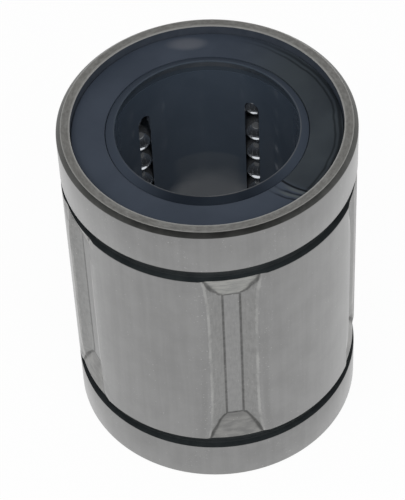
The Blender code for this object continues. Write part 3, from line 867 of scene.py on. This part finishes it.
CAGE_EDGE = 0.1
CAGE_STEPS = 240
cage = spun_piece("cage_moulding", rounded_outline([
    (CAGE_IN, CAGE_START, 0.0),
    (CAGE_OUT, CAGE_START, CAGE_EDGE),
    (CAGE_OUT, LENGTH - CAGE_START, CAGE_EDGE),
    (CAGE_IN, LENGTH - CAGE_START, 0.0),
]), [(2 * math.pi, CAGE_STEPS)])
for vertex in cage.data.vertices:
    reach = vertex.co.xy.length / MM
    if reach > CAGE_OUT - 2 * CAGE_EDGE:
        flute = side_depth(track_offset(vertex.co.x, vertex.co.y), LENGTH)
        vertex.co.x *= (reach - flute) / reach
        vertex.co.y *= (reach - flute) / reach
for circuit in circuits:
    for cutter in (channel_cutter(circuit), window_cutter(circuit)):
        settle(cage)
        cut = cage.modifiers.new("channel", "BOOLEAN")
        cut.operation = "DIFFERENCE"
        cut.solver = "EXACT"
        cut.object = cutter
        bpy.ops.object.modifier_apply(modifier="channel")
        bpy.data.objects.remove(cutter)
REFLECTION_PATCH_HEIGHT = 5.6
REFLECTION_PATCH_TURN = math.radians(24)


def cage_resin():
    """Glossy black resin, paler in the channels as painted light, with a painted reflection as a pale patch at
    mid-length on the back wall.
    """
    finish, surface, film = moulded("cage_resin", (0.055, 0.073, 0.1), (0.061, 0.08, 0.108), 0.14, 0.4)
    radius, azimuth, z = around_bore(finish)
    # Painted reflection: a pale patch on the back wall.
    from_back = finish.math("SUBTRACT", math.pi, finish.math("ABSOLUTE", azimuth))
    across = finish.ramp(from_back, REFLECTION_PATCH_TURN, REFLECTION_PATCH_TURN - 0.12)
    edge = finish.math("MULTIPLY_ADD", finish.math("POWER", from_back, 2.0), -3.0, REFLECTION_PATCH_HEIGHT)
    within = finish.math("SUBTRACT", edge, finish.math("ABSOLUTE", finish.math("SUBTRACT", z, MID)))
    pale = finish.math("MULTIPLY", finish.ramp(within, -0.1, 0.5), across)
    surface = finish.mix(finish.math("MULTIPLY", pale, 0.8), surface, (0.085, 0.102, 0.125))
    # Painted light: the channels are paler than the rest of the moulding.
    in_channel = finish.ramp(radius, CAGE_IN + 0.04, CAGE_IN + 0.2)
    finish.colour(finish.mix(in_channel, surface, (0.11, 0.13, 0.16)))
    return finish.material


finish_turned(cage, cage_resin())
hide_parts("ball_cage")
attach(cage, "sleeve_and_cage")

# Steel balls
# A hundred polished bearing balls in five circuits. The seven of a load row roll between shaft and track,
# and the rest come back round two turns and a return row under the sleeve.
BALL_TONES = ((0.6, 0.63, 0.67), (0.68, 0.71, 0.75))
steel_ball = Finish("ball_steel", (0.64, 0.68, 0.76), 0.07, 0.94)
ball_smudge = steel_ball.noise(steel_ball.place, 900.0, 3.0)
steel_ball.roughness(steel_ball.math("MULTIPLY_ADD", ball_smudge, 0.05, 0.045))
steel_ball.colour(steel_ball.mix(ball_smudge, *BALL_TONES))


def ball_group(name, places):
    """Polished balls at the given places, as one piece."""
    balls = []
    for place in places:
        bpy.ops.mesh.primitive_uv_sphere_add(segments=32, ring_count=16, radius=BALL_R * MM, location=place)
        ball = bpy.context.active_object
        settle(ball)
        bpy.ops.object.transform_apply(location=True, rotation=True, scale=True)
        bpy.ops.object.shade_smooth()
        balls.append(ball)
    for ball in balls:
        ball.select_set(True)
    if len(balls) > 1:
        bpy.ops.object.join()
        settle(bpy.context.active_object)
        bpy.ops.object.transform_apply(location=True, rotation=True, scale=True)
    group = bpy.context.active_object
    group.name = name
    group.data.materials.append(steel_ball.material)
    return group


TURN_PITCH = 3.348
half_row = LOAD_BALLS // 2
for circuit in circuits:
    pitch = (circuit.load[1] - circuit.load[0]).length
    rolled = circuit.load[half_row].z - MID * MM
    for number, place in enumerate(circuit.load):
        ball = ball_group("%s_ball_%d" % (circuit.name, number + 1), [place])
        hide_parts("%s_load_ball_%d" % (circuit.name, number + 1))
        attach(ball, circuit.name + "_load_row")
    returning = [circuit.back + Vector((0, 0, pitch * step)) for step in range(-half_row, half_row + 1)]
    group = ball_group(circuit.name + "_returning_balls", returning)
    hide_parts(circuit.name + "_return_balls")
    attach(group, circuit.name + "_return_row")
    for side in ("upper", "lower"):
        middle = math.pi / 2 + rolled / (TURN_R * MM) * (1 if side == "upper" else -1)
        apart = TURN_PITCH / TURN_R
        turning = [circuit.turn_point(side, middle + apart * step) for step in (-1, 0, 1)]
        group = ball_group("%s_%s_turning_balls" % (circuit.name, side), turning)
        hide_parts("%s_%s_turn_balls" % (circuit.name, side))
        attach(group, "%s_%s_turn" % (circuit.name, side))

# Floor and light
# A plain pale floor and an even pale surround, with one long soft lamp above the front. The camera and the
# shiny steel see both close to white, but the steel sees it darker overhead. The floor keeps a faint shadow.
FLOOR_SIZE = 4.0
FLOOR_GAP = 0.00005
FLOOR_GLOW = 0.96
SKY_LIGHT = 0.45
bpy.ops.mesh.primitive_plane_add(size=FLOOR_SIZE, location=(0, 0, -FLOOR_GAP))
floor = bpy.context.active_object
floor.name = "floor"


def seen_directly(tree):
    """One for camera, glossy and transmission rays, nothing for the rays that light the object."""
    path = tree.nodes.new("ShaderNodeLightPath")
    seen = path.outputs["Is Camera Ray"]
    for ray in ("Is Glossy Ray", "Is Transmission Ray"):
        either = tree.nodes.new("ShaderNodeMath")
        either.operation = "MAXIMUM"
        tree.links.new(seen, either.inputs[0])
        tree.links.new(path.outputs[ray], either.inputs[1])
        seen = either.outputs[0]
    return seen


pale = Finish("pale_floor", (0.9, 0.9, 0.9), 0.7, 0.0)
bright = pale.tree.nodes.new("ShaderNodeEmission")
bright.inputs["Strength"].default_value = 1.0
shown = pale.math("MULTIPLY", seen_directly(pale.tree), FLOOR_GLOW)
cover = pale.tree.nodes.new("ShaderNodeMixShader")
pale.tree.links.new(shown, cover.inputs[0])
pale.tree.links.new(pale.shader.outputs[0], cover.inputs[1])
pale.tree.links.new(bright.outputs[0], cover.inputs[2])
pale.tree.links.new(cover.outputs[0], pale.tree.nodes["Material Output"].inputs["Surface"])
floor.data.materials.append(pale.material)

world = bpy.data.worlds.new("studio")
bpy.context.scene.world = world
world.use_nodes = True
tree = world.node_tree
sky = tree.nodes["Background"]
sky.inputs["Color"].default_value = (1.0, 1.0, 1.0, 1.0)
sky.inputs["Strength"].default_value = SKY_LIGHT
white = tree.nodes.new("ShaderNodeBackground")
sky_place = tree.nodes.new("ShaderNodeTexCoord")
sky_parts = tree.nodes.new("ShaderNodeSeparateXYZ")
tree.links.new(sky_place.outputs["Generated"], sky_parts.inputs[0])
dusk = tree.nodes.new("ShaderNodeMapRange")
dusk.interpolation_type = "SMOOTHSTEP"
DUSK_HEIGHTS = (0.18, 0.6)
DUSK_STRENGTHS = (1.0, 0.07)
for socket, value in zip(dusk.inputs[1:5], DUSK_HEIGHTS + DUSK_STRENGTHS):
    socket.default_value = value
tree.links.new(sky_parts.outputs[2], dusk.inputs[0])
tree.links.new(dusk.outputs[0], white.inputs["Strength"])
surround = tree.nodes.new("ShaderNodeMixShader")
tree.links.new(seen_directly(tree), surround.inputs[0])
tree.links.new(sky.outputs[0], surround.inputs[1])
tree.links.new(white.outputs[0], surround.inputs[2])
tree.links.new(surround.outputs[0], tree.nodes["World Output"].inputs["Surface"])


def soft_lamp(name, place, width, depth, watts):
    """Oblong lamp that faces the bearing's middle."""
    lamp = bpy.data.lights.new(name, "AREA")
    lamp.shape = "RECTANGLE"
    lamp.size = width
    lamp.size_y = depth
    lamp.energy = watts
    holder = bpy.data.objects.new(name, lamp)
    bpy.context.collection.objects.link(holder)
    holder.location = place
    aim = Vector((0, 0, MID * MM)) - Vector(place)
    holder.rotation_euler = aim.to_track_quat("-Z", "Y").to_euler()
    return holder


lamp = soft_lamp("front_lamp", place=(-0.015, -0.19, 0.335), width=0.45, depth=0.12, watts=0.85)
lamp.visible_glossy = False

# Camera
# Looks down from the front at the angle of the photograph, rolled a few degrees clockwise.
FRAME_HEIGHT_PX = 500
FOCAL_PX = 2377.9
SENSOR_MM = 36.0
ELEVATION = math.radians(49.232)
ROLL = math.radians(-2.904)
DISTANCE = 266.49
ASIDE = 1.1485
UP = -0.151
forward = Vector((0, math.cos(ELEVATION), -math.sin(ELEVATION)))
level = Vector((1, 0, 0))
upright = Vector((0, math.sin(ELEVATION), math.cos(ELEVATION)))
right = level * math.cos(ROLL) + upright * math.sin(ROLL)
top = upright * math.cos(ROLL) - level * math.sin(ROLL)
eye = Vector((0, 0, MID)) - forward * DISTANCE - right * ASIDE - top * UP
view = bpy.data.cameras.new("camera")
view.sensor_width = SENSOR_MM
view.lens = FOCAL_PX * SENSOR_MM / FRAME_HEIGHT_PX
view.clip_start = 0.01
camera = bpy.data.objects.new("camera", view)
bpy.context.collection.objects.link(camera)
camera.matrix_world = Matrix.Translation(eye * MM) @ Matrix((right, top, -forward)).transposed().to_4x4()
bpy.context.scene.camera = camera
bpy.context.scene.view_settings.view_transform = "Standard"
